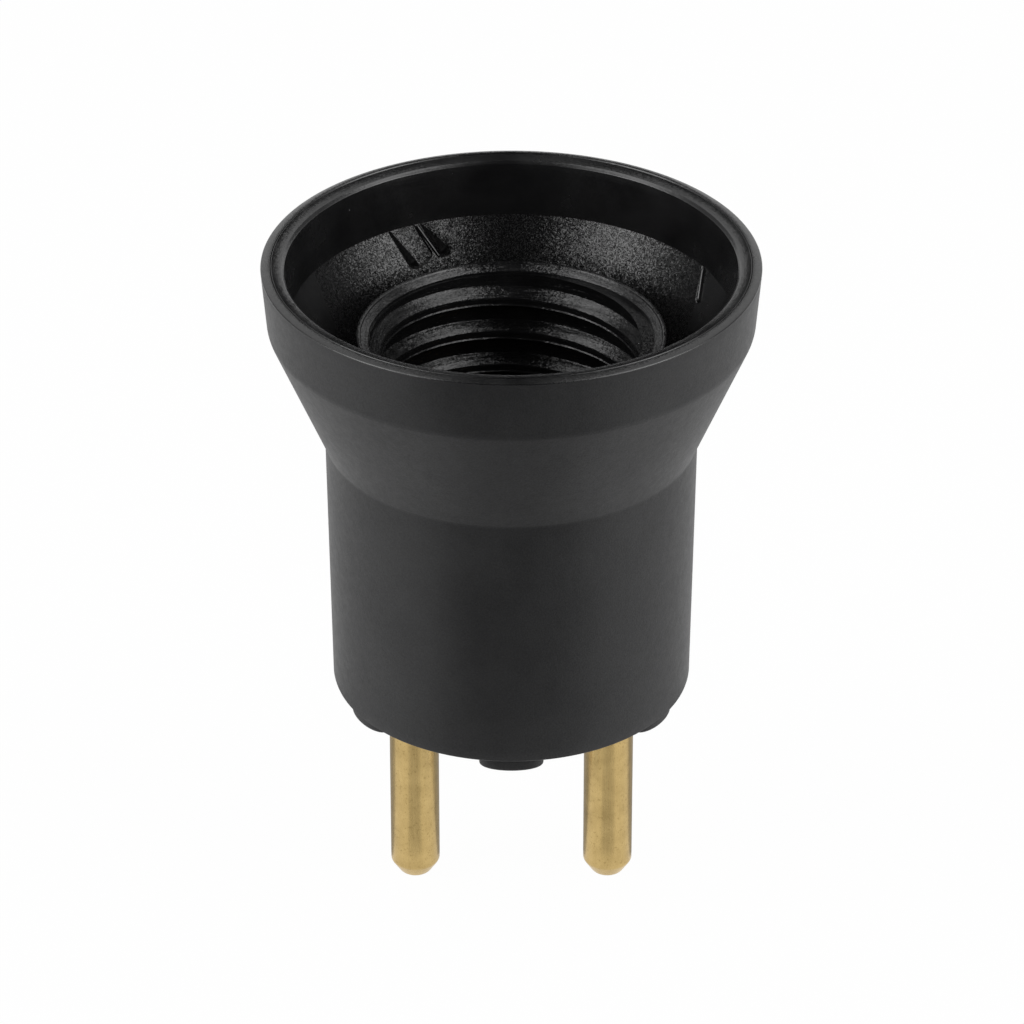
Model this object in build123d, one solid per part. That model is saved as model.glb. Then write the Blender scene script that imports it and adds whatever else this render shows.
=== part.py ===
import os
from math import ceil, cos, hypot, radians, sin

from build123d import *

# Plug-in lamp holder: a moulded bell with a screw-thread cup in it and two plug pins under it.
# Millimetres. The zero plane is the plane of the feet, +Z points out of the lamp's mouth,
# the pins stand on the X axis and the front of the object faces -Y.

# Bell, outside
rim_radius = 23.34
band_height = 6.07
band_draft = 0.49
cone_height = 12.31
base_draft = 0.39
body_height = 44.33
rim_edge_round = 0.3
band_corner_round = 2.0
shoulder_round = 1.0
base_edge_round = 0.3

# Bell, inside
rim_land = 0.9
rim_step = 0.15
mouth_bevel = 0.35
mouth_wall = 2.25
mouth_depth = 5.74
mouth_draft = 0.39
lower_wall = 1.9
floor_thickness = 3.0

# Oval feet under the base: one in front, one behind, and one each side of either pin
foot_side_turn = 63.0
foot_length = 6.1
foot_width = 2.85
foot_height = 1.5
foot_inset = 0.65
foot_edge_round = 0.35

# Slanting flutes in the bell's inner cone, given as degrees clockwise from the back
flute_depth = 0.65
broad_flute = {"top": -30.8, "foot": -26.8, "radius": 1.6, "drop": 2.75}
narrow_flute = {"top": -23.9, "foot": -19.3, "radius": 0.8, "drop": 2.75}
right_flute = {"top": 61.2, "foot": 64.8, "radius": 0.8, "drop": 2.3}

# Screw cup for a 27 mm Edison thread
cup_wall = 1.24
cup_gap = 1.18
cup_drop = 7.56
cup_floor = 2.5
thread_pitch = 3.629
root_radius = 13.3
thread_depth = 1.05
crest_flat = 1.45
root_flat = 1.05
thread_length = 16.6
groove_start_above_thread_end = 0.59
lead_in_clearance = 0.1
lead_in_depth = 0.85
lip_land = 0.1
lip_drop = 0.52
lip_round = 0.1
lower_bore_relief = 0.5
recess_side_gap = 0.4
recess_head_room = 0.9
leaf_flex_room = 0.4

# Plug pins
pin_pitch = 19.0
pin_radius = 2.4
pin_length = 22.3
tip_end_radius = 1.35
tip_taper_height = 1.6
tip_edge_round = 0.6
tip_end_round = 1.0
collar_overhang = 1.3
collar_height = 1.0
tail_radius = 1.5
tail_proud = 0.7
hole_clearance = 0.05

# Washers and nuts on the tails
washer_rim = 1.5
washer_thickness = 0.5
nut_wall = 1.25
nut_height = 2.4
nut_edge = 0.25

# Leaf contacts of brass strip
strip_thickness = 0.4
strip_width = 5.0
strip_gap = 0.05
centre_bend_gap = 0.3
centre_apex_x = 0.4
centre_apex_height = 6.7
centre_nose_run = 2.3
centre_nose_drop = 1.2
centre_bend_radius = 1.5
centre_apex_round = 1.3
side_riser_height = 6.2
side_bump_reach = 1.05
side_bump_height = 10.2
side_tip_height = 12.6
side_tip_inset = 0.3
side_bend_radius = 0.5
side_lean_radius = 1.5
side_bump_round = 1.0

# Heights that follow
base_z = foot_height
rim_z = base_z + body_height
band_foot_z = rim_z - band_height
shoulder_z = band_foot_z - cone_height
band_foot_radius = rim_radius - band_draft
floor_z = base_z + floor_thickness
cup_top_z = rim_z - cup_drop
cup_floor_z = floor_z + cup_floor
lead_in_z = cup_top_z - lead_in_depth
thread_end_z = lead_in_z - thread_length
groove_start_z = thread_end_z + groove_start_above_thread_end

# Radii that follow, from the thread outwards
crest_radius = root_radius - thread_depth
lead_in_radius = root_radius + lead_in_clearance
lower_bore_radius = crest_radius + lower_bore_relief
cup_radius = root_radius + cup_wall
bore_radius = cup_radius + cup_gap
shoulder_radius = bore_radius + lower_wall
base_radius = shoulder_radius - base_draft
collar_radius = pin_radius + collar_overhang
washer_radius = tail_radius + washer_rim
nut_radius = tail_radius + nut_wall

# Inner surface of the bell, its cone parallel to the outer one
mouth_radius = rim_radius - mouth_wall
land_radius = rim_radius - rim_land
wall_foot_radius = mouth_radius - mouth_draft
wall_foot_z = rim_z - mouth_depth
cone_slope = (band_foot_radius - shoulder_radius) / cone_height
inner_cone_foot_z = wall_foot_z - (wall_foot_radius - bore_radius) / cone_slope

# Stack on the pins and the side leaf's place
pin_x = pin_pitch / 2
strip_middle_z = cup_floor_z + strip_thickness / 2
washer_z = cup_floor_z + strip_thickness
nut_z = washer_z + washer_thickness
tail_top_z = nut_z + nut_height + tail_proud
riser_x = pin_x + washer_radius + strip_gap + side_bend_radius
side_tip_z = cup_floor_z + side_tip_height
tolerance = 1e-4


def turned(*points):
    outline = make_face(Polyline(*[(r, 0, z) for r, z in points], close=True))
    return revolve(outline, Axis.Z)


def round_edges(solid, radius, height):
    return [
        edge
        for edge in solid.edges().filter_by(GeomType.CIRCLE)
        if abs(edge.radius - radius) < tolerance and abs(edge.arc_center.Z - height) < tolerance
    ]


def upright(radius, low, high, x=0.0):
    return Pos(x, 0, low) * Cylinder(radius, high - low, align=(Align.CENTER, Align.CENTER, Align.MIN))


def outer_bell():
    bell = turned(
        (0, base_z),
        (base_radius, base_z),
        (shoulder_radius, shoulder_z),
        (band_foot_radius, band_foot_z),
        (rim_radius, rim_z),
        (0, rim_z),
    )
    bell = fillet(round_edges(bell, base_radius, base_z), base_edge_round)
    bell = fillet(round_edges(bell, shoulder_radius, shoulder_z), shoulder_round)
    bell = fillet(round_edges(bell, band_foot_radius, band_foot_z), band_corner_round)
    return fillet(round_edges(bell, rim_radius, rim_z), rim_edge_round)


def bell_cavity():
    return turned(
        (0, floor_z),
        (bore_radius, floor_z),
        (bore_radius, inner_cone_foot_z),
        (wall_foot_radius, wall_foot_z),
        (mouth_radius, rim_z - rim_step - mouth_bevel),
        (mouth_radius + mouth_bevel, rim_z - rim_step),
        (land_radius, rim_z - rim_step),
        (land_radius, rim_z),
        (0, rim_z),
    )


def cone_point(clockwise_from_back, drop, lift):
    # A point over the inner cone, lifted off its surface towards the axis.
    run = hypot(1.0, cone_slope)
    radius = wall_foot_radius - drop * cone_slope - lift / run
    height = wall_foot_z - drop + lift * cone_slope / run
    angle = radians(clockwise_from_back)
    return Vector(radius * sin(angle), radius * cos(angle), height)


def flute_cutter(flute):
    lift = flute["radius"] - flute_depth
    top = cone_point(flute["top"], 0.0, lift)
    foot = cone_point(flute["foot"], flute["drop"], lift)
    along = foot - top
    rod = Plane(origin=top, z_dir=along) * Cylinder(
        flute["radius"], along.length, align=(Align.CENTER, Align.CENTER, Align.MIN)
    )
    return rod + Pos(*top) * Sphere(flute["radius"]) + Pos(*foot) * Sphere(flute["radius"])


def foot(angle):
    distance = base_radius - foot_inset - foot_width / 2
    pad = extrude(Ellipse(foot_length / 2, foot_width / 2), foot_height + base_edge_round)
    pad = fillet(pad.edges().group_by(Axis.Z)[0], foot_edge_round)
    return Rot(0, 0, angle) * Pos(0, -distance, 0) * pad


def body_shell():
    shell = outer_bell() - bell_cavity()
    for turn in (0, foot_side_turn, 180 - foot_side_turn, 180, 180 + foot_side_turn, -foot_side_turn):
        shell += foot(turn)
    for flute in (broad_flute, narrow_flute, right_flute):
        shell -= flute_cutter(flute)
    for x in (-pin_x, pin_x):
        shell -= upright(tail_radius + hole_clearance, base_z, floor_z, x)
        shell -= upright(collar_radius + hole_clearance, base_z, base_z + collar_height, x)
    return shell


def groove_turn():
    # Lowest turn of the thread's groove: a trapezoid swept once round a right-hand helix.
    flank = (thread_pitch - crest_flat - root_flat) / 2 / thread_depth
    inner_radius = crest_radius - thread_depth / 2
    half_root = root_flat / 2
    half_mouth = half_root + flank * (root_radius - inner_radius)
    path = Helix(thread_pitch, thread_pitch, root_radius, center=(0, 0, groove_start_z))
    section = make_face(
        Polyline(
            (inner_radius, 0, groove_start_z - half_mouth),
            (root_radius, 0, groove_start_z - half_root),
            (root_radius, 0, groove_start_z + half_root),
            (inner_radius, 0, groove_start_z + half_mouth),
            close=True,
        )
    )
    return sweep(section, path=path, is_frenet=True)


def wall_recess(side, top_z):
    # Flat-backed slot inside the cup's wall, clear of the nut and of the side leaf.
    back = riser_x + strip_thickness / 2 + leaf_flex_room
    slot = Pos(side * back / 2, 0, (cup_floor_z + top_z) / 2)
    return slot * Box(back, strip_width + 2 * recess_side_gap, top_z - cup_floor_z)


def thread_sleeve():
    cup = upright(cup_radius, floor_z, cup_top_z)
    cup = fillet(round_edges(cup, cup_radius, cup_top_z), lip_round)
    cup -= upright(lower_bore_radius, cup_floor_z, thread_end_z)
    cup -= upright(crest_radius, cup_floor_z, cup_top_z)
    cup -= turned(
        (0, lead_in_z),
        (lead_in_radius, lead_in_z),
        (lead_in_radius, cup_top_z - lip_drop),
        (cup_radius - lip_land, cup_top_z),
        (0, cup_top_z),
    )
    lowest_turn = groove_turn()
    for number in range(ceil((cup_top_z - groove_start_z) / thread_pitch)):
        cup -= Pos(0, 0, number * thread_pitch) * lowest_turn
    cup -= wall_recess(1, side_tip_z + recess_head_room)
    cup -= wall_recess(-1, tail_top_z + recess_head_room)
    for x in (-pin_x, pin_x):
        cup -= upright(tail_radius + hole_clearance, floor_z, cup_floor_z, x)
    return cup


def plug_pin(x):
    # Shank with a tapered, rounded tip, a collar sunk in the base and a tail through both floors.
    tip_z = -pin_length
    taper_z = tip_z + tip_taper_height
    collar_z = base_z + collar_height
    pin = turned(
        (0, tip_z),
        (tip_end_radius, tip_z),
        (pin_radius, taper_z),
        (pin_radius, base_z),
        (collar_radius, base_z),
        (collar_radius, collar_z),
        (tail_radius, collar_z),
        (tail_radius, tail_top_z),
        (0, tail_top_z),
    )
    pin = fillet(round_edges(pin, pin_radius, taper_z), tip_edge_round)
    pin = fillet(round_edges(pin, tip_end_radius, tip_z), tip_end_round)
    return Pos(x, 0, 0) * pin


def bent_strip(points, bend_radii):
    path = FilletPolyline(*[(x, 0, z) for x, z in points], radius=bend_radii)
    start = Plane(origin=path @ 0, x_dir=(0, 1, 0), z_dir=path % 0)
    return sweep(start * Rectangle(strip_width, strip_thickness), path=path)


def clamped_foot(strip, x):
    # Round eye under the washer, with a hole for the tail.
    strip += upright(washer_radius, cup_floor_z, washer_z, x)
    return strip - upright(tail_radius + hole_clearance, cup_floor_z, washer_z, x)


def centre_contact():
    bend_x = -pin_x + washer_radius + centre_bend_gap
    apex_z = cup_floor_z + centre_apex_height
    strip = bent_strip(
        [
            (-pin_x, strip_middle_z),
            (bend_x, strip_middle_z),
            (centre_apex_x, apex_z),
            (centre_apex_x + centre_nose_run, apex_z - centre_nose_drop),
        ],
        [centre_bend_radius, centre_apex_round],
    )
    return clamped_foot(strip, -pin_x)


def side_contact():
    strip = bent_strip(
        [
            (pin_x, strip_middle_z),
            (riser_x, strip_middle_z),
            (riser_x, cup_floor_z + side_riser_height),
            (riser_x - side_bump_reach, cup_floor_z + side_bump_height),
            (riser_x - side_tip_inset, side_tip_z),
        ],
        [side_bend_radius, side_lean_radius, side_bump_round],
    )
    return clamped_foot(strip, pin_x)


def washer(x):
    return upright(washer_radius, washer_z, nut_z, x) - upright(tail_radius + hole_clearance, washer_z, nut_z, x)


def nut(x):
    blank = extrude(RegularPolygon(nut_radius, 6, major_radius=False, rotation=30), nut_height)
    face_radius = nut_radius + nut_edge
    corner_radius = face_radius + nut_edge
    turning = turned(
        (0, 0),
        (face_radius, 0),
        (corner_radius, nut_edge),
        (corner_radius, nut_height - nut_edge),
        (face_radius, nut_height),
        (0, nut_height),
    )
    body = Pos(x, 0, nut_z) * (blank & turning)
    return body - upright(tail_radius + hole_clearance, nut_z, nut_z + nut_height, x)


pieces = {
    "body_shell": body_shell(),
    "thread_sleeve": thread_sleeve(),
    "centre_contact": centre_contact(),
    "side_contact": side_contact(),
}
for side, side_x in (("left", -pin_x), ("right", pin_x)):
    pieces["pin_" + side] = plug_pin(side_x)
    pieces["washer_" + side] = washer(side_x)
    pieces["nut_" + side] = nut(side_x)

os.makedirs("parts", exist_ok=True)
for name, solid in pieces.items():
    export_step(solid, "parts/" + name + ".step")
    print(name, round(solid.volume, 2))
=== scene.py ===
from math import atan2, cos, hypot, pi, radians, sin, tan

import bmesh
import bpy
from mathutils import Matrix, Vector


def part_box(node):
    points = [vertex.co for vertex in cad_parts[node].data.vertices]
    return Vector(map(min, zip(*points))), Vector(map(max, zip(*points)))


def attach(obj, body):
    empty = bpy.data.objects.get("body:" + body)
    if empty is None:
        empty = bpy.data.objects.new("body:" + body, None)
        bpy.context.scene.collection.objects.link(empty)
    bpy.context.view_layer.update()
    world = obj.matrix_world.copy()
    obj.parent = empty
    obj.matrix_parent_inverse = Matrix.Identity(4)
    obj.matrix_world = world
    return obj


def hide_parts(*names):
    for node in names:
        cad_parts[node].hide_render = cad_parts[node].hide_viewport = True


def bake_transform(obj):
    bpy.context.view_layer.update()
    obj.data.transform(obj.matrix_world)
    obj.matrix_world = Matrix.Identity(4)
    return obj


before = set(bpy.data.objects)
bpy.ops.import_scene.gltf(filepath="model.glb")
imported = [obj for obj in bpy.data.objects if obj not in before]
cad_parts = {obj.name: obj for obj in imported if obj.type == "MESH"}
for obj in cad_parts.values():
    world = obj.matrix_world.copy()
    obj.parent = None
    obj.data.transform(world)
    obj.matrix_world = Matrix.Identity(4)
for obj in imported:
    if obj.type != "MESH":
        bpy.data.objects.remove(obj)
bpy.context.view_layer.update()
mm = 0.001
upAxis = Vector((0, 0, 1))
scene = bpy.context.scene
shellLow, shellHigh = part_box("body_shell")
sleeveLow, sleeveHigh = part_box("thread_sleeve")
pinLow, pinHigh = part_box("pin_right")
pinX = (pinLow.x + pinHigh.x) / 2 / mm
floorZ = pinLow.z
print("frame loaded with", len(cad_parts), "nodes")


# Helpers for bmesh work, all sizes in millimetres

def outlineOf(bm, corners, closed=True):
    # corners are (radius, height, rounding); each rounding is a vertex bevel
    verts = [bm.verts.new((r * mm, 0, z * mm)) for r, z, _ in corners]
    ends = verts[1:] + verts[:1] if closed else verts[1:]
    for pair in zip(verts, ends):
        bm.edges.new(pair)
    for (_, _, rounding), vert in zip(corners, verts):
        if rounding:
            before, after = (edge.other_vert(vert).co - vert.co for edge in vert.link_edges)
            setBack = rounding * mm / tan(before.angle(after) / 2)
            steps = max(3, min(12, int(rounding * 8)))
            bmesh.ops.bevel(bm, geom=[vert], offset=setBack, offset_type="OFFSET", segments=steps,
                            profile=0.5, affect="VERTICES", clamp_overlap=False, material=-1)


def turnAround(bm, steps):
    bmesh.ops.spin(bm, geom=bm.verts[:] + bm.edges[:], cent=(0, 0, 0), axis=upAxis, angle=2 * pi,
                   steps=steps, use_merge=True)
    tidyMesh(bm)


def tidyMesh(bm, distance=1e-7):
    bmesh.ops.remove_doubles(bm, verts=bm.verts[:], dist=distance)
    bmesh.ops.dissolve_degenerate(bm, edges=bm.edges[:], dist=distance)
    bmesh.ops.delete(bm, geom=[edge for edge in bm.edges if edge.is_wire], context="EDGES")
    bmesh.ops.recalc_face_normals(bm, faces=bm.faces[:])


def vertsIn(geometry):
    return [item for item in geometry if isinstance(item, bmesh.types.BMVert)]


def shadeSmooth(mesh, sharpAngle=32):
    mesh.shade_smooth()
    mesh.set_sharp_from_angle(angle=radians(sharpAngle))


def objectFrom(bm, name):
    mesh = bpy.data.meshes.new(name)
    bm.to_mesh(mesh)
    bm.free()
    shadeSmooth(mesh)
    piece = bpy.data.objects.new(name, mesh)
    scene.collection.objects.link(piece)
    return piece


def combine(piece, tools, operation):
    # runs booleans one after another and keeps the result as the mesh
    for tool in tools:
        step = piece.modifiers.new("combine", "BOOLEAN")
        step.operation = operation
        step.solver = "MANIFOLD"
        step.object = tool
    depsgraph = bpy.context.evaluated_depsgraph_get()
    result = bpy.data.meshes.new_from_object(piece.evaluated_get(depsgraph))
    piece.modifiers.clear()
    old = piece.data
    name = old.name
    piece.data = result
    bpy.data.meshes.remove(old)
    piece.data.name = name
    piece.data.materials.clear()
    for tool in tools:
        toolMesh = tool.data
        bpy.data.objects.remove(tool)
        bpy.data.meshes.remove(toolMesh)


def rod(radius, low, high, x=0.0, steps=48):
    bm = bmesh.new()
    bmesh.ops.create_cone(bm, cap_ends=True, segments=steps, radius1=radius * mm, radius2=radius * mm,
                          depth=(high - low) * mm)
    bmesh.ops.translate(bm, verts=bm.verts[:], vec=(x * mm, 0, (low + high) / 2 * mm))
    return objectFrom(bm, "rod")


def block(low, high):
    bm = bmesh.new()
    bmesh.ops.create_cube(bm, size=1.0)
    size = (Vector(high) - Vector(low)) * mm
    bmesh.ops.scale(bm, verts=bm.verts[:], vec=size)
    bmesh.ops.translate(bm, verts=bm.verts[:], vec=(Vector(high) + Vector(low)) / 2 * mm)
    return objectFrom(bm, "block")


def finishPiece(piece, body, nodes, materials):
    for material in materials:
        piece.data.materials.append(material)
    if body:
        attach(piece, body)
    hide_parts(*nodes)
    print(piece.name, len(piece.data.polygons), "faces")


# Materials

def emptyMaterial(name):
    material = bpy.data.materials.new(name)
    material.use_nodes = True
    material.node_tree.nodes.clear()
    return material


def newMaterial(name):
    material = emptyMaterial(name)
    shader = addNode(material, "ShaderNodeBsdfPrincipled")
    addNode(material, "ShaderNodeOutputMaterial", {"Surface": shader.outputs["BSDF"]})
    return material, shader


def addNode(material, kind, inputs=None, **settings):
    node = material.node_tree.nodes.new(kind)
    for key, value in settings.items():
        setattr(node, key, value)
    for key, value in (inputs or {}).items():
        if isinstance(value, bpy.types.NodeSocket):
            material.node_tree.links.new(value, node.inputs[key])
        else:
            node.inputs[key].default_value = value
    return node


def placeOn(material, stretch=(1, 1, 1)):
    coords = addNode(material, "ShaderNodeTexCoord")
    mapping = addNode(material, "ShaderNodeMapping", {"Vector": coords.outputs["Object"], "Scale": stretch})
    return mapping.outputs[0]


def noiseOn(material, place, size, detail=3.0, roughness=0.5):
    # size is the width of one patch in millimetres
    return addNode(material, "ShaderNodeTexNoise", {
        "Vector": place, "Scale": 1 / (size * mm), "Detail": detail, "Roughness": roughness}).outputs["Fac"]


def spread(material, value, low, high, fromLow=0.3, fromHigh=0.7):
    return addNode(material, "ShaderNodeMapRange", {
        "Value": value, "From Min": fromLow, "From Max": fromHigh,
        "To Min": low, "To Max": high}).outputs[0]


def tint(material, value, dark, light, fromLow=0.3, fromHigh=0.7):
    ramp = addNode(material, "ShaderNodeValToRGB", {"Fac": value})
    first, second = ramp.color_ramp.elements
    first.position, first.color = fromLow, (*dark, 1)
    second.position, second.color = fromHigh, (*light, 1)
    return ramp.outputs["Color"]


def bumpFrom(material, height, depth, strength=1.0, under=None):
    # depth is in millimetres
    inputs = {"Height": height, "Distance": depth * mm, "Strength": strength}
    if under:
        inputs["Normal"] = under
    return addNode(material, "ShaderNodeBump", inputs).outputs["Normal"]


def mathOf(material, operation, first, second):
    return addNode(material, "ShaderNodeMath", {0: first, 1: second}, operation=operation).outputs[0]


def vectorOf(material, operation, inputs):
    return addNode(material, "ShaderNodeVectorMath", inputs, operation=operation).outputs[0]


def mixed(material, share, first, colour):
    # the first colour where share is nothing, the second where it is one
    mix = addNode(material, "ShaderNodeMix", {0: share, 6: first, 7: (*colour, 1)}, data_type="RGBA")
    return mix.outputs[2]


def sparkle(material, place, size, lean, under=None):
    # tilts the surface at random, one way for each small grain
    grains = addNode(material, "ShaderNodeTexVoronoi", {"Vector": place, "Scale": 1 / (size * mm)})
    surface = under or addNode(material, "ShaderNodeNewGeometry").outputs["Normal"]
    offset = vectorOf(material, "SUBTRACT", {0: grains.outputs["Color"], 1: (0.5, 0.5, 0.5)})
    tilt = vectorOf(material, "SCALE", {0: offset, "Scale": lean})
    return vectorOf(material, "NORMALIZE", {0: vectorOf(material, "ADD", {0: surface, 1: tilt})})


def connect(material, source, shader, socketName):
    material.node_tree.links.new(source, shader.inputs[socketName])


def specksOn(material, place, spacing, size, share):
    # one on scattered specks, else nothing; share is the part of the cells that hold a speck
    cells = addNode(material, "ShaderNodeTexVoronoi", {"Vector": place, "Scale": 1 / (spacing * mm)})
    near = mathOf(material, "LESS_THAN", cells.outputs["Distance"], size / 2 / spacing)
    chance = addNode(material, "ShaderNodeSeparateColor", {"Color": cells.outputs["Color"]}).outputs[0]
    return mathOf(material, "MULTIPLY", near, mathOf(material, "LESS_THAN", chance, share))


# Finishes, with the width and depth of each pattern in millimetres

blackPlastic = {
    "dark": (0.0132, 0.0132, 0.0138), "light": (0.019, 0.019, 0.0196), "specular": (0.27, 0.37),
    "roughness": (0.44, 0.50), "patch": 6.0, "dent": 0.8, "dentDepth": 0.015,
    "skin": 0.16, "skinDepth": 0.011, "facet": 0.14, "lean": 0.035,
}
mouthPlastic = {
    # dark and light are well below the outside's colours: painted shade for the inside of the mouth
    "dark": (0.0045, 0.0045, 0.0048), "light": (0.0080, 0.0080, 0.0083), "dust": (0.16, 0.16, 0.16),
    "specular": 0.6, "roughness": (0.20, 0.28), "patch": 4.0, "dustSpacing": 1.3, "dustSize": 0.13,
    "dustShare": 0.10, "ring": 3.0, "ringStretch": (1, 1, 24), "ringDepth": 0.010,
    "skin": 0.3, "skinDepth": 0.004, "facet": 0.12, "lean": 0.07,
}
grainPlastic = {
    # light is the colour of the painted glints on the grain, dark its own black
    "dark": (0.003, 0.003, 0.0032), "light": (0.016, 0.016, 0.0165), "lightFrom": 0.5, "lightTo": 0.72,
    "specular": 0.52, "roughness": (0.20, 0.32), "crumb": 0.14, "facet": 0.085, "lean": 0.30,
}
cupPlastic = {
    "dark": (0.0045, 0.0045, 0.0048), "light": (0.0080, 0.0080, 0.0083), "dust": (0.16, 0.16, 0.16),
    "specular": (0.24, 0.62), "roughness": (0.08, 0.26), "patch": 2.5, "dustSpacing": 1.5, "dustSize": 0.12,
    "dustShare": 0.08, "streak": 0.8, "streakStretch": (0.2, 0.2, 2.6), "streakDepth": 0.09, "wave": 0.9,
    "waveDepth": 0.030, "facet": 0.10, "lean": 0.20,
}


def satinBlack():
    material, shader = newMaterial("satinBlack")
    finish = blackPlastic
    place = placeOn(material)
    patches = noiseOn(material, place, finish["patch"], 4.0)
    dents = noiseOn(material, place, finish["dent"], 3.0)
    skin = noiseOn(material, place, finish["skin"], 2.0)
    connect(material, tint(material, patches, finish["dark"], finish["light"]), shader, "Base Color")
    connect(material, spread(material, dents, *finish["roughness"]), shader, "Roughness")
    connect(material, spread(material, skin, *finish["specular"]), shader, "Specular IOR Level")
    hollows = bumpFrom(material, dents, finish["dentDepth"])
    relief = bumpFrom(material, skin, finish["skinDepth"], 1.0, hollows)
    connect(material, sparkle(material, place, finish["facet"], finish["lean"], relief), shader, "Normal")
    return material


def dustyBlack(material, place, patches, finish):
    black = tint(material, patches, finish["dark"], finish["light"])
    specks = specksOn(material, place, finish["dustSpacing"], finish["dustSize"], finish["dustShare"])
    return mixed(material, specks, black, finish["dust"])


def mouthBlack():
    # smoother skin of the rim and mouth, with faint rings left by the tool and a little dust; its base
    # colour is darker than the outside's, painted shade for the inside of the mouth
    material, shader = newMaterial("mouthBlack")
    finish = mouthPlastic
    place = placeOn(material)
    patches = noiseOn(material, place, finish["patch"], 4.0)
    rings = noiseOn(material, placeOn(material, finish["ringStretch"]), finish["ring"], 3.0)
    skin = noiseOn(material, place, finish["skin"], 2.0)
    connect(material, dustyBlack(material, place, patches, finish), shader, "Base Color")
    connect(material, spread(material, patches, *finish["roughness"]), shader, "Roughness")
    lines = bumpFrom(material, rings, finish["ringDepth"])
    relief = bumpFrom(material, skin, finish["skinDepth"], 1.0, lines)
    connect(material, sparkle(material, place, finish["facet"], finish["lean"], relief), shader, "Normal")
    shader.inputs["Specular IOR Level"].default_value = finish["specular"]
    return material


def coneGrain():
    # spark-eroded pebble of the inner cone; the light specks in its base colour are painted glints, the
    # dark ground is the grain's own black
    material, shader = newMaterial("coneGrain")
    finish = grainPlastic
    place = placeOn(material)
    crumbsAndGlints = noiseOn(material, place, finish["crumb"], 1.0)
    # the light specks of this colour are painted glints
    black = tint(material, crumbsAndGlints, finish["dark"], finish["light"], finish["lightFrom"], finish["lightTo"])
    connect(material, black, shader, "Base Color")
    connect(material, spread(material, crumbsAndGlints, *finish["roughness"]), shader, "Roughness")
    connect(material, sparkle(material, place, finish["facet"], finish["lean"]), shader, "Normal")
    shader.inputs["Specular IOR Level"].default_value = finish["specular"]
    return material


def sleeveBlack():
    # glossier, with streaks along the turns where the core was screwed out
    material, shader = newMaterial("sleeveBlack")
    finish = cupPlastic
    place = placeOn(material)
    patches = noiseOn(material, place, finish["patch"], 4.0)
    streaks = noiseOn(material, placeOn(material, finish["streakStretch"]), finish["streak"], 4.0, 0.6)
    connect(material, dustyBlack(material, place, patches, finish), shader, "Base Color")
    connect(material, spread(material, streaks, *finish["roughness"]), shader, "Roughness")
    connect(material, spread(material, streaks, *finish["specular"]), shader, "Specular IOR Level")
    waves = bumpFrom(material, noiseOn(material, place, finish["wave"], 2.0), finish["waveDepth"])
    relief = bumpFrom(material, streaks, finish["streakDepth"], 1.0, waves)
    connect(material, sparkle(material, place, finish["facet"], finish["lean"], relief), shader, "Normal")
    return material


brass = {
    # pits are the small dark marks of tumbling
    "cloud": 2.2, "lightFrom": 0.15, "lightTo": 0.70,
    "scratch": 0.22, "scratchShade": 0.08, "scratchDepth": 0.006,
    "pit": 0.26, "pitFrom": 0.60, "pitTo": 0.70, "pitShade": 0.35, "pitDepth": 0.006,
}
pinFinish = {
    # drawn stretches the scratches along the piece
    "dark": (0.42, 0.295, 0.115), "light": (0.62, 0.45, 0.19), "roughness": (0.20, 0.36),
    "drawn": (1, 1, 0.05),
}
leafFinish = {
    "dark": (0.50, 0.36, 0.15), "light": (0.62, 0.46, 0.20), "roughness": (0.22, 0.34),
    "drawn": (0.08, 1, 0.08),
}
zincFinish = {
    "dark": (0.50, 0.51, 0.53), "light": (0.66, 0.67, 0.68), "roughness": (0.26, 0.40),
    "cloud": 1.2, "skin": 0.15, "skinDepth": 0.006,
}


def brassOf(name, finish):
    material, shader = newMaterial(name)
    place = placeOn(material)
    clouds = noiseOn(material, place, brass["cloud"], 5.0, 0.6)
    scratches = noiseOn(material, placeOn(material, finish["drawn"]), brass["scratch"], 4.0, 0.7)
    pits = noiseOn(material, place, brass["pit"], 2.0)
    darkPits = spread(material, pits, 0.0, brass["pitShade"], brass["pitFrom"], brass["pitTo"])
    darkLines = spread(material, scratches, -brass["scratchShade"], brass["scratchShade"])
    shade = mathOf(material, "ADD", mathOf(material, "SUBTRACT", clouds, darkPits), darkLines)
    colour = tint(material, shade, finish["dark"], finish["light"], brass["lightFrom"], brass["lightTo"])
    connect(material, colour, shader, "Base Color")
    connect(material, spread(material, scratches, *finish["roughness"]), shader, "Roughness")
    lines = bumpFrom(material, scratches, brass["scratchDepth"])
    connect(material, bumpFrom(material, pits, brass["pitDepth"], 0.7, lines), shader, "Normal")
    shader.inputs["Metallic"].default_value = 1.0
    return material


def zincPlate():
    material, shader = newMaterial("zincPlate")
    finish = zincFinish
    place = placeOn(material)
    clouds = noiseOn(material, place, finish["cloud"], 4.0)
    skin = noiseOn(material, place, finish["skin"], 3.0)
    connect(material, tint(material, clouds, finish["dark"], finish["light"]), shader, "Base Color")
    connect(material, spread(material, clouds, *finish["roughness"]), shader, "Roughness")
    connect(material, bumpFrom(material, skin, finish["skinDepth"]), shader, "Normal")
    shader.inputs["Metallic"].default_value = 1.0
    return material


satin = satinBlack()
mouth = mouthBlack()
grain = coneGrain()
sleevePlastic = sleeveBlack()
pinBrass = brassOf("pinBrass", pinFinish)
leafBrass = brassOf("leafBrass", leafFinish)
zinc = zincPlate()
print("materials made")


# Moulded bell

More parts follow.
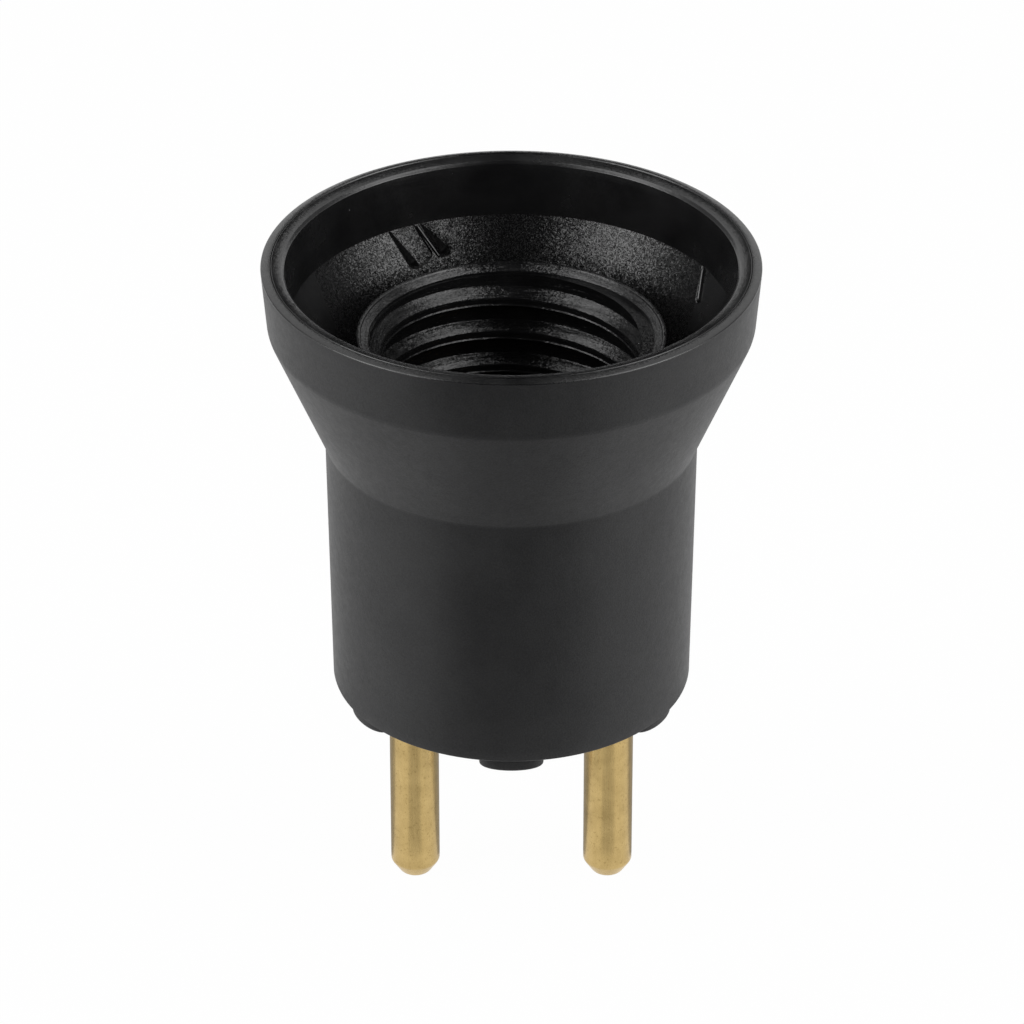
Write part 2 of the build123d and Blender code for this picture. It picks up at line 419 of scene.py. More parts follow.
bell = {
    "rimRadius": 23.34, "bandHeight": 6.07, "bandDraft": 0.49, "bandCorner": 2.0,
    "coneHeight": 12.31, "shoulderRadius": 17.62, "shoulderCorner": 1.0, "baseDraft": 0.39, "baseEdge": 0.3,
    "mouthWall": 2.25, "mouthDepth": 5.74, "mouthDraft": 0.39, "mouthFootEdge": 0.12,
    "boreRadius": 15.72, "boreEdge": 0.4, "floor": 3.0, "floorCorner": 0.3,
    "outlineStep": 3, "aroundSteps": 288, "sharpAngle": 28,
}
rimBeads = {
    # an outer ring falling outwards and an inner land falling inwards, with a groove between them,
    # as distances in from the rim and down from its top
    "edgeDrop": 0.17, "ringIn": 0.84, "grooveIn": 0.92, "grooveDrop": 0.16,
    "landIn": 1.0, "landDrop": 0.03, "bevelIn": 1.98, "bevelDrop": 0.26, "bevelFootDrop": 0.50,
    "edgeRound": 0.12, "ringRound": 0.06, "grooveRound": 0.03, "bevelRound": 0.15, "bevelFootRound": 0.12,
}
feet = {"sideTurn": 62.0, "length": 6.1, "width": 2.85, "height": 1.5, "inset": 0.65, "edge": 0.35}
finishLimits = {
    # where the cone's grain ends on both sides, and how far the satin, smooth and grained skins reach
    "grainHalfAngle": 65.5, "rimDrop": 0.3, "belowCone": 0.3,
    "carvedAbove": 0.5, "carvedDepth": 0.34, "proud": 0.05,
}
fluteCut = {"headroom": 1.2, "endSteps": 8, "underWall": 0.02}
flutes = {
    # top and foot are degrees clockwise from the back, drop is how far the foot lies under the mouth wall,
    # the section goes from left to right as (across, off the cone, rounding), open above,
    # and topScale is its size at the top against that at the foot
    "broad": {
        "top": -30.9, "foot": -26.8, "drop": 3.8, "endLength": 0.6, "pivot": 0.3, "topScale": 1.0,
        "section": [(-1.4, 0, 0), (-1.0, -0.32, 0.2), (1.3, -0.22, 0.05), (1.4, 0, 0)],
    },
    "broadEdge": {
        "top": -34.2, "foot": -29.4, "drop": 4.05, "endLength": 0.7, "pivot": 0.5, "topScale": 0.40,
        "section": [(-0.52, 0, 0), (0.12, -1.0, 0), (0.55, -0.28, 0)],
    },
    "narrow": {
        "top": -23.7, "foot": -19.2, "drop": 3.4, "endLength": 0.5, "pivot": 0.4, "topScale": 1.0,
        "section": [(-0.75, 0, 0), (-0.55, -0.15, 0.1), (0.85, 0, 0)],
    },
    "narrowEdge": {
        "top": -25.1, "foot": -19.7, "drop": 3.45, "endLength": 0.6, "pivot": 0.1, "topScale": 0.10,
        "section": [(-0.58, 0, 0), (0.0, -0.90, 0), (0.72, 0, 0)],
    },
    "right": {
        "top": 61.8, "foot": 64.5, "drop": 3.1, "endLength": 0.5, "pivot": 0.0, "topScale": 1.0,
        "section": [(-0.3, 0, 0), (0.0, -0.12, 0.1), (0.5, 0, 0)],
    },
}
burrs = {
    # thin ridges thrown up beside the flutes
    "left": {"top": -26.0, "foot": -21.4, "topDrop": 0.3, "drop": 3.1, "radius": 0.15, "endLength": 0.25},
    "right": {"top": 62.6, "foot": 65.4, "topDrop": 0.4, "drop": 2.5, "radius": 0.27, "endLength": 0.5},
}
pinSeat = {"tailHole": 1.55, "collarHole": 3.75, "collarDepth": 1.0, "cutBeyond": 0.5}

rimZ = shellHigh.z / mm
baseZ = shellLow.z / mm + feet["height"]
bandFootZ = rimZ - bell["bandHeight"]
bandFootRadius = bell["rimRadius"] - bell["bandDraft"]
shoulderZ = bandFootZ - bell["coneHeight"]
baseRadius = bell["shoulderRadius"] - bell["baseDraft"]
mouthRadius = bell["rimRadius"] - bell["mouthWall"]
wallFootRadius = mouthRadius - bell["mouthDraft"]
wallFootZ = rimZ - bell["mouthDepth"]
coneSlope = (bandFootRadius - bell["shoulderRadius"]) / bell["coneHeight"]
coneFootZ = wallFootZ - (wallFootRadius - bell["boreRadius"]) / coneSlope
bellFloorZ = baseZ + bell["floor"]


def rimCorner(inward, drop, rounding):
    return bell["rimRadius"] - inward, rimZ - drop, rounding


def bellBlank():
    bm = bmesh.new()
    outlineOf(bm, [
        (0, baseZ, 0),
        (baseRadius, baseZ, bell["baseEdge"]),
        (bell["shoulderRadius"], shoulderZ, bell["shoulderCorner"]),
        (bandFootRadius, bandFootZ, bell["bandCorner"]),
        rimCorner(0, rimBeads["edgeDrop"], rimBeads["edgeRound"]),
        rimCorner(rimBeads["ringIn"], 0, rimBeads["ringRound"]),
        rimCorner(rimBeads["grooveIn"], rimBeads["grooveDrop"], rimBeads["grooveRound"]),
        rimCorner(rimBeads["landIn"], rimBeads["landDrop"], rimBeads["ringRound"]),
        rimCorner(rimBeads["bevelIn"], rimBeads["bevelDrop"], rimBeads["bevelRound"]),
        (mouthRadius, rimZ - rimBeads["bevelFootDrop"], rimBeads["bevelFootRound"]),
        (wallFootRadius, wallFootZ, bell["mouthFootEdge"]),
        (bell["boreRadius"], coneFootZ, bell["boreEdge"]),
        (bell["boreRadius"], bellFloorZ, bell["floorCorner"]),
        (0, bellFloorZ, 0),
    ])
    # long walls are cut about every millimetre
    longEdges = [edge for edge in bm.edges if edge.calc_length() > bell["outlineStep"] * mm]
    for edge in longEdges:
        bmesh.ops.subdivide_edges(bm, edges=[edge], cuts=int(edge.calc_length() / mm))
    turnAround(bm, bell["aroundSteps"])
    return objectFrom(bm, "bellShell")


def footPad(angle):
    bm = bmesh.new()
    distance = baseRadius - feet["inset"] - feet["width"] / 2
    rise = feet["height"] + bell["baseEdge"]
    bmesh.ops.create_circle(bm, cap_ends=True, segments=64, radius=1.0)
    bmesh.ops.scale(bm, verts=bm.verts[:], vec=(feet["length"] / 2 * mm, feet["width"] / 2 * mm, 1))
    sole = bm.edges[:]
    raised = bmesh.ops.extrude_face_region(bm, geom=bm.faces[:], use_keep_orig=True)
    bmesh.ops.translate(bm, verts=vertsIn(raised["geom"]), vec=(0, 0, rise * mm))
    bmesh.ops.bevel(bm, geom=sole, offset=feet["edge"] * mm, offset_type="OFFSET", segments=6, profile=0.5,
                    affect="EDGES", clamp_overlap=True, material=-1)
    bmesh.ops.translate(bm, verts=bm.verts[:], vec=(0, -distance * mm, shellLow.z))
    bmesh.ops.rotate(bm, verts=bm.verts[:], cent=(0, 0, 0), matrix=Matrix.Rotation(radians(angle), 3, "Z"))
    bmesh.ops.recalc_face_normals(bm, faces=bm.faces[:])
    return objectFrom(bm, "footPad")


def conePoint(clockwise, drop):
    # a point on the inner cone and the direction off its surface
    radius = wallFootRadius - drop * coneSlope
    angle = radians(clockwise)
    outward = Vector((sin(angle), cos(angle), 0))
    point = outward * radius + upAxis * (wallFootZ - drop)
    return point * mm, (upAxis * coneSlope - outward).normalized()


def axesAlong(top, foot, off):
    # right, up the slope and off the surface, for a line on the cone
    along = (top - foot).normalized()
    across = along.cross(off).normalized()
    return Matrix((across, along, across.cross(along))).transposed()


def fluteTool(flute):
    # the section drawn up the cone past the mouth wall's foot, with a rounded end below
    headroom = fluteCut["headroom"]
    top, _ = conePoint(flute["top"], 0)
    foot, off = conePoint(flute["foot"], flute["drop"] - flute["endLength"])
    left, right = flute["section"][0][0], flute["section"][-1][0]
    bm = bmesh.new()
    outlineOf(bm, [(left, headroom, 0)] + flute["section"] + [(right, headroom, 0)])
    end = bmesh.ops.contextual_create(bm, geom=bm.edges[:])["faces"]
    upper = vertsIn(bmesh.ops.extrude_face_region(bm, geom=end, use_keep_orig=True)["geom"])
    bmesh.ops.scale(bm, verts=upper, vec=(flute["topScale"], 1, flute["topScale"]))
    bmesh.ops.translate(bm, verts=upper, vec=(0, (top - foot).length + headroom * mm, 0))
    stepTurn = pi / 2 / fluteCut["endSteps"]
    for number in range(1, fluteCut["endSteps"]):
        turn = number * stepTurn
        before = turn - stepTurn
        end = bmesh.ops.extrude_discrete_faces(bm, faces=end)["faces"]
        ring = end[0].verts[:]
        advance = (sin(turn) - sin(before)) * flute["endLength"] * mm
        shrink = cos(turn) / cos(before)
        bmesh.ops.translate(bm, verts=ring, vec=(0, -advance, 0))
        bmesh.ops.scale(bm, verts=ring, vec=(shrink, 1, shrink),
                        space=Matrix.Translation((-flute["pivot"] * mm, 0, 0)))
    bmesh.ops.rotate(bm, verts=bm.verts[:], cent=(0, 0, 0), matrix=axesAlong(top, foot, off))
    bmesh.ops.translate(bm, verts=bm.verts[:], vec=foot)
    bmesh.ops.bisect_plane(bm, geom=bm.verts[:] + bm.edges[:] + bm.faces[:], dist=1e-9,
                           plane_co=(0, 0, (wallFootZ - fluteCut["underWall"]) * mm), plane_no=upAxis,
                           clear_outer=True)
    bmesh.ops.holes_fill(bm, edges=[edge for edge in bm.edges if edge.is_boundary])
    tidyMesh(bm)
    return objectFrom(bm, "fluteTool")


def burrTool(burr):
    # a thin round bead lying on the cone
    top, _ = conePoint(burr["top"], burr["topDrop"])
    foot, off = conePoint(burr["foot"], burr["drop"])
    bm = bmesh.new()
    bmesh.ops.create_uvsphere(bm, u_segments=24, v_segments=16, radius=mm)
    bmesh.ops.scale(bm, verts=bm.verts[:], vec=(burr["radius"], burr["radius"], burr["endLength"]))
    upper = [vert for vert in bm.verts if vert.co.z > 0.01 * mm]
    bmesh.ops.rotate(bm, verts=bm.verts[:], cent=(0, 0, 0), matrix=Matrix.Rotation(-pi / 2, 3, "X"))
    bmesh.ops.translate(bm, verts=upper, vec=(0, (top - foot).length, 0))
    bmesh.ops.rotate(bm, verts=bm.verts[:], cent=(0, 0, 0), matrix=axesAlong(top, foot, off))
    bmesh.ops.translate(bm, verts=bm.verts[:], vec=foot)
    bmesh.ops.recalc_face_normals(bm, faces=bm.faces[:])
    return objectFrom(bm, "burrTool")


def surfaceKind(polygon):
    # 0 satin outside, 1 smooth mouth, burrs and sides of the cone, 2 grained front and back of the cone
    centre = polygon.center / mm
    radius = hypot(centre.x, centre.y)
    inward = polygon.normal.x * centre.x + polygon.normal.y * centre.y < 0
    if centre.z > rimZ - finishLimits["rimDrop"] or centre.z >= wallFootZ and inward:
        return 1
    if not inward or centre.z < coneFootZ - finishLimits["belowCone"]:
        return 0
    proud = wallFootRadius - (wallFootZ - centre.z) * coneSlope - radius
    level = -finishLimits["carvedDepth"] < proud < finishLimits["proud"]
    carved = centre.z > coneFootZ + finishLimits["carvedAbove"] and not level
    return 1 if carved or abs(centre.x) > radius * sin(radians(finishLimits["grainHalfAngle"])) else 2


def makeBell():
    piece = bellBlank()
    turns = [base + side for base in (0, 180) for side in (-feet["sideTurn"], 0, feet["sideTurn"])]
    combine(piece, [footPad(turn) for turn in turns], "UNION")
    tools = [fluteTool(flute) for flute in flutes.values()]
    below = baseZ - pinSeat["cutBeyond"]
    for x in (-pinX, pinX):
        tools.append(rod(pinSeat["tailHole"], below, bellFloorZ + pinSeat["cutBeyond"], x))
        tools.append(rod(pinSeat["collarHole"], below, baseZ + pinSeat["collarDepth"], x))
    combine(piece, tools, "DIFFERENCE")
    combine(piece, [burrTool(burr) for burr in burrs.values()], "UNION")
    for polygon in piece.data.polygons:
        polygon.material_index = surfaceKind(polygon)
    shadeSmooth(piece.data, bell["sharpAngle"])
    finishPiece(piece, "holder", ["body_shell"], [satin, mouth, grain])


makeBell()


# Threaded cup

cup = {
    "outerRadius": 14.54, "outerEdge": 0.09, "lipBead": 0.34, "lipBeadDrop": 0.07, "lipBeadHeight": 0.18,
    "lipBeadFoot": 0.06, "lipBeadRound": 0.05, "lipBeadFootRound": 0.04,
    "lipDrop": 0.52, "lipInnerEdge": 0.12,
    "leadInRadius": 13.4, "leadInDepth": 0.85, "rootRadius": 13.3, "threadDepth": 1.05, "pitch": 3.629,
    "crestFlat": 0.8, "rootFlat": 1.35, "crestEdge": 0.2, "rootEdge": 0.2,
    "flash": 0.13, "flashHeight": 0.13, "flashEdge": 0.05, "flashTopEdge": 0.1,
    "threadLength": 16.6, "grooveStartAboveEnd": 1.8, "grooveStartTurn": 120, "lowerBoreRelief": 0.5,
    "floor": 2.5, "floorCorner": 0.3, "aroundSteps": 240, "turns": 8,
}
recess = {"back": 13.65, "width": 5.8, "rightTop": 20.5, "leftTop": 11.9}

cupTopZ = sleeveHigh.z / mm
cupFloorZ = sleeveLow.z / mm + cup["floor"]
leadInZ = cupTopZ - cup["leadInDepth"]
threadEndZ = leadInZ - cup["threadLength"]
crestRadius = cup["rootRadius"] - cup["threadDepth"]
lowerBoreRadius = crestRadius + cup["lowerBoreRelief"]
beadRadius = cup["outerRadius"] - cup["lipBead"]
grooveStartZ = threadEndZ + cup["grooveStartAboveEnd"]


def threadSurface(bm):
    # one pitch of the profile wound up as a right-hand screw, then trimmed level at both ends
    halfRoot = cup["rootFlat"] / 2
    flank = (cup["pitch"] - cup["crestFlat"] - cup["rootFlat"]) / 2
    low = grooveStartZ - 2 * cup["pitch"]
    outlineOf(bm, [
        (crestRadius, low - halfRoot - flank - cup["crestFlat"] / 2, 0),
        (crestRadius, low - halfRoot - flank, cup["crestEdge"]),
        (cup["rootRadius"], low - halfRoot, cup["rootEdge"]),
        (cup["rootRadius"], low + halfRoot, cup["rootEdge"]),
        (crestRadius - cup["flash"], low + halfRoot + flank, cup["flashEdge"]),
        (crestRadius, low + halfRoot + flank + cup["flashHeight"], cup["flashTopEdge"]),
        (crestRadius, low + halfRoot + flank + cup["crestFlat"] / 2, 0),
    ], closed=False)
    steps = cup["aroundSteps"]
    bmesh.ops.spin(bm, geom=bm.verts[:] + bm.edges[:], cent=(0, 0, 0), axis=upAxis,
                   dvec=(0, 0, cup["pitch"] * mm / steps), angle=2 * pi, steps=steps)
    oneTurn = bm.verts[:] + bm.edges[:] + bm.faces[:]
    for number in range(1, cup["turns"]):
        copied = bmesh.ops.duplicate(bm, geom=oneTurn)["geom"]
        bmesh.ops.translate(bm, verts=vertsIn(copied), vec=(0, 0, number * cup["pitch"] * mm))
    bmesh.ops.remove_doubles(bm, verts=bm.verts[:], dist=2e-7)
    bmesh.ops.rotate(bm, verts=bm.verts[:], cent=(0, 0, 0),
                     matrix=Matrix.Rotation(radians(cup["grooveStartTurn"]), 3, "Z"))
    for height, side in ((leadInZ, True), (threadEndZ, False)):
        bmesh.ops.bisect_plane(bm, geom=bm.verts[:] + bm.edges[:] + bm.faces[:], dist=1e-9,
                               plane_co=(0, 0, height * mm), plane_no=upAxis,
                               clear_outer=side, clear_inner=not side)


def levelEdges(bm, height):
    return [edge for edge in bm.edges if edge.is_boundary
            and all(abs(vert.co.z - height * mm) < 1e-7 for vert in edge.verts)]


def ringAngle(ring, step):
    vert = ring[step % len(ring)]
    return atan2(vert.co.y, vert.co.x) + 2 * pi * (step // len(ring))


def ringOf(edges):
    verts = {vert for edge in edges for vert in edge.verts}
    return sorted(verts, key=lambda vert: atan2(vert.co.y, vert.co.x))


def joinRings(bm, firstEdges, secondEdges):
    # a strip of triangles between two level rings, walking round both by angle
    first, second = ringOf(firstEdges), ringOf(secondEdges)
    here = there = 0
    while here < len(first) or there < len(second):
        corners = [first[here % len(first)], second[there % len(second)]]
        onFirst = there == len(second) or (
            here < len(first) and ringAngle(first, here + 1) <= ringAngle(second, there + 1))
        if onFirst:
            here += 1
            corners.insert(1, first[here % len(first)])
        else:
            there += 1
            corners.insert(1, second[there % len(second)])
        bm.faces.new(corners)


def makeCup():
    bm = bmesh.new()
    threadSurface(bm)
    loopTop = levelEdges(bm, leadInZ)
    loopLow = levelEdges(bm, threadEndZ)
    # lip, outside and bottom, then the lower bore back up to the thread's end
    body = bmesh.new()
    outlineOf(body, [
        (cup["leadInRadius"], leadInZ, 0),
        (cup["leadInRadius"], cupTopZ - cup["lipDrop"], cup["lipInnerEdge"]),
        (beadRadius - cup["lipBeadFoot"], cupTopZ - cup["lipBeadHeight"], cup["lipBeadFootRound"]),
        (beadRadius, cupTopZ - cup["lipBeadDrop"], cup["lipBeadRound"]),
        (cup["outerRadius"], cupTopZ, cup["outerEdge"]),
        (cup["outerRadius"], sleeveLow.z / mm, 0),
        (0, sleeveLow.z / mm, 0),
        (0, cupFloorZ, 0),
        (lowerBoreRadius, cupFloorZ, cup["floorCorner"]),
        (lowerBoreRadius, threadEndZ, 0),
    ], closed=False)
    bmesh.ops.spin(body, geom=body.verts[:] + body.edges[:], cent=(0, 0, 0), axis=upAxis, angle=2 * pi,
                   steps=cup["aroundSteps"], use_merge=True)
    bmesh.ops.remove_doubles(body, verts=body.verts[:], dist=1e-7)
    holder = bpy.data.meshes.new("cupBody")
    body.to_mesh(holder)
    body.free()
    bm.from_mesh(holder)
    bpy.data.meshes.remove(holder)
    for height, loop in ((leadInZ, loopTop), (threadEndZ, loopLow)):
        loop = [edge for edge in loop if edge.is_valid]
        circle = [edge for edge in levelEdges(bm, height) if edge not in set(loop)]
        joinRings(bm, loop, circle)
    tidyMesh(bm)
    print("cup open edges:", sum(1 for edge in bm.edges if not edge.is_manifold))
    piece = objectFrom(bm, "threadCup")
    half = recess["width"] / 2
    tools = [block((0, -half, cupFloorZ), (recess["back"], half, recess["rightTop"])),
             block((-recess["back"], -half, cupFloorZ), (0, half, recess["leftTop"]))]
    for x in (-pinX, pinX):
        tools.append(rod(pinSeat["tailHole"], sleeveLow.z / mm - pinSeat["cutBeyond"],
                         cupFloorZ + pinSeat["cutBeyond"], x))
    combine(piece, tools, "DIFFERENCE")
    shadeSmooth(piece.data)
    finishPiece(piece, "holder", ["thread_sleeve"], [sleevePlastic])


makeCup()


# Brass plug pins

pin = {
    "radius": 2.4, "tipEndRadius": 1.35, "tipEndRound": 1.0, "tipTaper": 1.6, "tipRound": 0.6,
    "collarRadius": 3.7, "collarHeight": 1.0, "collarEdge": 0.12, "tailRadius": 1.5, "tailEdge": 0.25,
    "neckRound": 0.10, "tailFootRound": 0.08, "valleyRound": 0.04, "ridgeRound": 0.03, "tailRound": 0.05,
    "ridgePitch": 0.5, "ridgeDepth": 0.22, "ridges": 3, "aroundSteps": 96,
}


def makePin(name, node, x):
    tipZ = pinLow.z / mm
    topZ = pinHigh.z / mm
    collarTopZ = baseZ + pin["collarHeight"]
    ridgeStart = topZ - pin["tailEdge"] - pin["ridges"] * pin["ridgePitch"]
    corners = [
        (0, tipZ, 0),
        (pin["tipEndRadius"], tipZ, pin["tipEndRound"]),
        (pin["radius"], tipZ + pin["tipTaper"], pin["tipRound"]),
        (pin["radius"], baseZ, pin["neckRound"]),
        (pin["collarRadius"], baseZ, pin["collarEdge"]),
        (pin["collarRadius"], collarTopZ, pin["collarEdge"]),
        (pin["tailRadius"], collarTopZ, pin["tailFootRound"]),
        (pin["tailRadius"], ridgeStart, 0),
    ]
    for number in range(pin["ridges"]):
        valley = ridgeStart + (number + 0.5) * pin["ridgePitch"]
        corners.append((pin["tailRadius"] - pin["ridgeDepth"], valley, pin["valleyRound"]))
        corners.append((pin["tailRadius"], valley + pin["ridgePitch"] / 2, pin["ridgeRound"]))
    corners.append((pin["tailRadius"] - pin["tailEdge"], topZ, pin["tailRound"]))
    corners.append((0, topZ, 0))
    bm = bmesh.new()
    outlineOf(bm, corners, closed=False)
    turnAround(bm, pin["aroundSteps"])
    bmesh.ops.translate(bm, verts=bm.verts[:], vec=(x * mm, 0, 0))
    finishPiece(objectFrom(bm, name), "holder", [node], [pinBrass])


makePin("plugPinLeft", "pin_left", -pinX)
makePin("plugPinRight", "pin_right", pinX)


# Leaf contacts, clamped at their eyes; the real leaves spring beyond the first bend, here they are fixed
# shapes

leaf = {
    "thickness": 0.4, "width": 5.0, "eyeRadius": 3.0, "holeRadius": 1.55,
    "edge": 0.06, "edgeAngle": 60, "step": 0.5,
}
centreLeaf = {
    # centreline corners as (x, z, rounding)
    "line": [(-9.5, 7.2, 0), (-6.2, 7.2, 1.5), (0.4, 13.7, 1.3), (2.7, 12.5, 0)],
    "flexStart": (-6.5, 7.2), "flexEnd": (-4.9, 8.6),
}
sideLeaf = {
    "line": [(9.5, 7.2, 0), (13.05, 7.2, 0.5), (13.05, 13.2, 1.5), (12.0, 17.2, 1.0), (12.75, 19.6, 0)],
    "flexStart": (13.05, 7.6), "flexEnd": (13.05, 9.8),
}


def leafStrip(name, settings):
    # the centreline drawn out to the leaf's width, then given its thickness and broken edges
    bm = bmesh.new()
    outlineOf(bm, settings["line"], closed=False)
    for edge in bm.edges[:]:
        cuts = round(edge.calc_length() / mm / leaf["step"]) - 1
        if cuts > 0:
            bmesh.ops.subdivide_edges(bm, edges=[edge], cuts=cuts)
    bmesh.ops.translate(bm, verts=bm.verts[:], vec=(0, -leaf["width"] / 2 * mm, 0))
    drawn = bmesh.ops.extrude_edge_only(bm, edges=bm.edges[:])["geom"]
    bmesh.ops.translate(bm, verts=vertsIn(drawn), vec=(0, leaf["width"] * mm, 0))
    bmesh.ops.recalc_face_normals(bm, faces=bm.faces[:])
    piece = objectFrom(bm, name)
    sheet = piece.modifiers.new("sheet", "SOLIDIFY")
    sheet.thickness = leaf["thickness"] * mm
    sheet.offset = 0
    sheet.use_even_offset = True
    edges = piece.modifiers.new("brokenEdges", "BEVEL")
    edges.width = leaf["edge"] * mm
    edges.segments = 2
    edges.limit_method = "ANGLE"
    edges.angle_limit = radians(leaf["edgeAngle"])
    return piece


def makeLeaf(name, node, settings):
    piece = leafStrip(name, settings)
    eyeX, eyeZ, _ = settings["line"][0]
    half = leaf["thickness"] / 2
    combine(piece, [rod(leaf["eyeRadius"], eyeZ - half, eyeZ + half, eyeX)], "UNION")
    combine(piece, [rod(leaf["holeRadius"], eyeZ - 2 * half, eyeZ + 2 * half, eyeX)], "DIFFERENCE")
    shadeSmooth(piece.data)
    finishPiece(piece, None, [node], [leafBrass])
    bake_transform(piece)


makeLeaf("centreLeaf", "centre_contact", centreLeaf)
makeLeaf("sideLeaf", "side_contact", sideLeaf)


# Nuts and washers keep their own solids

for nodeName in ("washer_left", "washer_right", "nut_left", "nut_right"):
    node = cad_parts[nodeName]
    node.data.materials.clear()
    node.data.materials.append(zinc)


# Studio

studio = {
    "floorReach": 2.0, "floorWhite": 0.98, "worldFill": 0.35,
    "matHalfAngle": 40, "matStart": 0.045, "matEnd": 0.5, "matLift": 0.0006, "cardLift": 0.0003,
    "canopyReach": 1.2, "canopyFront": -1, "canopyBack": 177,
    "canopyHalfWidths": {-1: 0.90, 20: 0.84, 45: 0.60, 90: 0.29, 120: 0.15, 177: 0.15},
}
softboxes = {
    # azimuth from the front, elevation, distance, size and power, each one on both sides
    "side": {"azimuth": 71, "elevation": 28, "distance": 0.6, "size": (0.30, 0.45), "power": 1.1},
    "front": {"azimuth": 53, "elevation": 20, "distance": 0.6, "size": (0.36, 0.30), "power": 0.8},
    "top": {"azimuth": 98, "elevation": 62, "distance": 0.6, "size": (0.25, 0.30), "power": 0.47},
}
wings = {
    # grey cards high behind both sides that only reflections show, from and to in degrees as above
    "azimuths": (106, 146), "elevations": (14, 47), "reach": 1.2, "grey": 0.28,
}
pinCards = {
    # grey cards on the floor that only the pins' reflections show
    "near": 6, "nearHalf": 3, "wide": 18, "wideHalf": 9.3, "far": 45, "frontGrey": 0.66,
    "backNear": 4, "backFar": 36, "backHalfAngle": 75, "backGrey": 0.42,
}


def seenWhite(material):
    # one where the camera, a reflection or a refraction looks, else nothing
    rays = addNode(material, "ShaderNodeLightPath")
    first = addNode(material, "ShaderNodeMath", operation="MAXIMUM", inputs={
        0: rays.outputs["Is Camera Ray"], 1: rays.outputs["Is Glossy Ray"]})
    return addNode(material, "ShaderNodeMath", operation="MAXIMUM", inputs={
        0: first.outputs[0], 1: rays.outputs["Is Transmission Ray"]}).outputs[0]


def makeFloor():
    bm = bmesh.new()
    bmesh.ops.create_circle(bm, cap_ends=True, segments=96, radius=studio["floorReach"])
    bmesh.ops.translate(bm, verts=bm.verts[:], vec=(0, 0, floorZ))
    floor = objectFrom(bm, "floor")
    material = emptyMaterial("floorWhite")
    paper = addNode(material, "ShaderNodeBsdfDiffuse", {"Color": (0.8, 0.8, 0.8, 1)})
    glow = addNode(material, "ShaderNodeEmission", {"Color": (1, 1, 1, 1), "Strength": 1.0})
    share = addNode(material, "ShaderNodeMath", operation="MULTIPLY", inputs={
        0: seenWhite(material), 1: studio["floorWhite"]})
    mix = addNode(material, "ShaderNodeMixShader", {
        0: share.outputs[0], 1: paper.outputs[0], 2: glow.outputs[0]})
    addNode(material, "ShaderNodeOutputMaterial", {"Surface": mix.outputs[0]})
    floor.data.materials.append(material)


def hangUnseen(bm, name, material):
    # a piece of the stage that only reflections show
    piece = objectFrom(bm, name)
    piece.data.materials.append(material)
    piece.visible_camera = False
    piece.visible_shadow = False
    piece.visible_diffuse = False


def halfWidthAt(turn):
    stops = sorted(studio["canopyHalfWidths"].items())
    for (low, widthLow), (high, widthHigh) in zip(stops, stops[1:]):
        if turn <= high:
            return widthLow + (widthHigh - widthLow) * (turn - low) / (high - low)
    return stops[-1][1]


def makeCanopy():
    # dark mat on the floor in front, and a strip of cloth from the front over the top
    bm = bmesh.new()
    matReach = (studio["matStart"], studio["matEnd"])
    start = [bm.verts.new((0, -distance, floorZ + studio["matLift"])) for distance in matReach]
    edge = bm.edges.new(start)
    half = radians(studio["matHalfAngle"])
    bmesh.ops.rotate(bm, verts=start, cent=(0, 0, 0), matrix=Matrix.Rotation(-half, 3, "Z"))
    bmesh.ops.spin(bm, geom=start + [edge], cent=(0, 0, 0), axis=upAxis, angle=2 * half, steps=24)
    middle = Vector((0, 0, (shellLow.z + shellHigh.z) / 2))
    first = radians(studio["canopyFront"])
    reach = studio["canopyReach"]
    ends = [bm.verts.new(middle + Vector((x, -reach * cos(first), reach * sin(first)))) for x in (-1, 1)]
    cross = bm.edges.new(ends)
    bmesh.ops.spin(bm, geom=ends + [cross], cent=middle, axis=(1, 0, 0), steps=42,
                   angle=-radians(studio["canopyBack"] - studio["canopyFront"]))
    # the cloth's edges start a metre out on both sides and are drawn in to their half width
    for vert in bm.verts:
        if abs(vert.co.x) > 0.99:
            turn = atan2(vert.co.z - middle.z, -vert.co.y)
            turn = turn if turn > -pi / 2 else turn + 2 * pi
            vert.co.x *= halfWidthAt(turn * 180 / pi)
    material = emptyMaterial("canopyBlack")
    cloth = addNode(material, "ShaderNodeBsdfDiffuse", {"Color": (0.01, 0.01, 0.01, 1)})
    addNode(material, "ShaderNodeOutputMaterial", {"Surface": cloth.outputs[0]})
    hangUnseen(bm, "darkCanopy", material)


def makeWorld():
    world = bpy.data.worlds.new("studioWorld")
    scene.world = world
    world.use_nodes = True
    world.node_tree.nodes.clear()
    strength = addNode(world, "ShaderNodeMapRange", {
        "Value": seenWhite(world), "To Min": studio["worldFill"], "To Max": 1.0})
    sky = addNode(world, "ShaderNodeBackground", {"Color": (1, 1, 1, 1), "Strength": strength.outputs[0]})
    addNode(world, "ShaderNodeOutputWorld", {"Surface": sky.outputs[0]})


def towards(azimuth, rise):
    return Vector((sin(azimuth) * cos(rise), -cos(azimuth) * cos(rise), sin(rise)))


def reflectedCard(bm, name, grey):
    material = emptyMaterial(name)
    glow = addNode(material, "ShaderNodeEmission", {"Color": (1, 1, 1, 1), "Strength": grey})
    addNode(material, "ShaderNodeOutputMaterial", {"Surface": glow.outputs[0]})
    hangUnseen(bm, name, material)


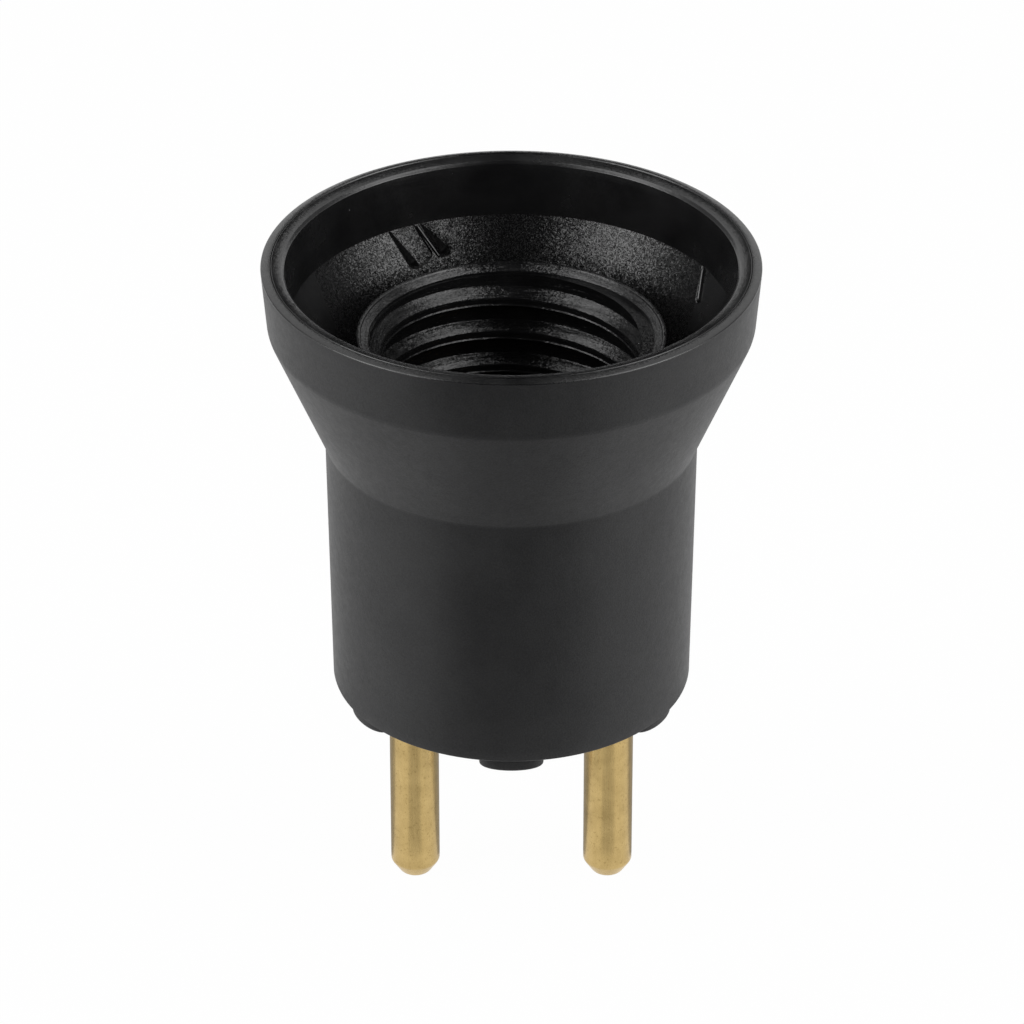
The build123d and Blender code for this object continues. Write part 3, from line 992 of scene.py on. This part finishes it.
def makeLights():
    aim = Vector((0, 0, (shellLow.z + shellHigh.z) / 2))
    for name, box in softboxes.items():
        for side in (-1, 1):
            away = towards(radians(box["azimuth"]) * side, radians(box["elevation"]))
            lamp = bpy.data.lights.new(name + "Softbox", "AREA")
            lamp.shape = "RECTANGLE"
            lamp.size, lamp.size_y = box["size"]
            lamp.energy = box["power"]
            holder = bpy.data.objects.new(name + "Softbox", lamp)
            holder.location = aim + away * box["distance"]
            holder.rotation_euler = away.to_track_quat("Z", "Y").to_euler()
            scene.collection.objects.link(holder)


def makePinCards():
    card = pinCards
    front = [(-card["nearHalf"], -card["near"]), (card["nearHalf"], -card["near"]),
             (card["wideHalf"], -card["wide"]), (card["wideHalf"], -card["far"]),
             (-card["wideHalf"], -card["far"]), (-card["wideHalf"], -card["wide"])]
    turns = [radians(card["backHalfAngle"]) * share / 8 for share in range(-8, 9)]
    back = [(sin(turn) * card["backNear"], cos(turn) * card["backNear"]) for turn in turns]
    back += [(sin(turn) * card["backFar"], cos(turn) * card["backFar"]) for turn in reversed(turns)]
    cards = (("frontCard", front, card["frontGrey"]), ("backCard", back, card["backGrey"]))
    cardZ = floorZ + studio["cardLift"]
    for name, corners, grey in cards:
        bm = bmesh.new()
        for middle in (-pinX, pinX):
            bm.faces.new([bm.verts.new(((middle + x) * mm, y * mm, cardZ)) for x, y in corners])
        reflectedCard(bm, name, grey)


def makeWings():
    low, high = (radians(turn) for turn in wings["elevations"])
    bm = bmesh.new()
    for side in (-1, 1):
        near, far = (radians(turn) * side for turn in wings["azimuths"])
        corners = [(near, low), (far, low), (far, high), (near, high)]
        bm.faces.new([bm.verts.new(towards(*corner) * wings["reach"]) for corner in corners])
    reflectedCard(bm, "wingCards", wings["grey"])


makeFloor()
makeCanopy()
makePinCards()
makeWings()
makeWorld()
makeLights()
scene.view_settings.view_transform = "Standard"

# Camera at the photograph's angle

shot = {"elevation": 30.387, "distance": 0.51896, "aim": (0.00006, 0, 0.018813), "lens": 191.12}
rise = radians(shot["elevation"])
back = Vector((0, -cos(rise), sin(rise)))
cameraData = bpy.data.cameras.new("camera")
cameraData.lens = shot["lens"]
cameraData.sensor_width = 36
camera = bpy.data.objects.new("camera", cameraData)
camera.location = Vector(shot["aim"]) + back * shot["distance"]
camera.rotation_euler = back.to_track_quat("Z", "Y").to_euler()
cameraData.clip_start = 0.01
scene.collection.objects.link(camera)
scene.camera = camera
print("studio and camera set")
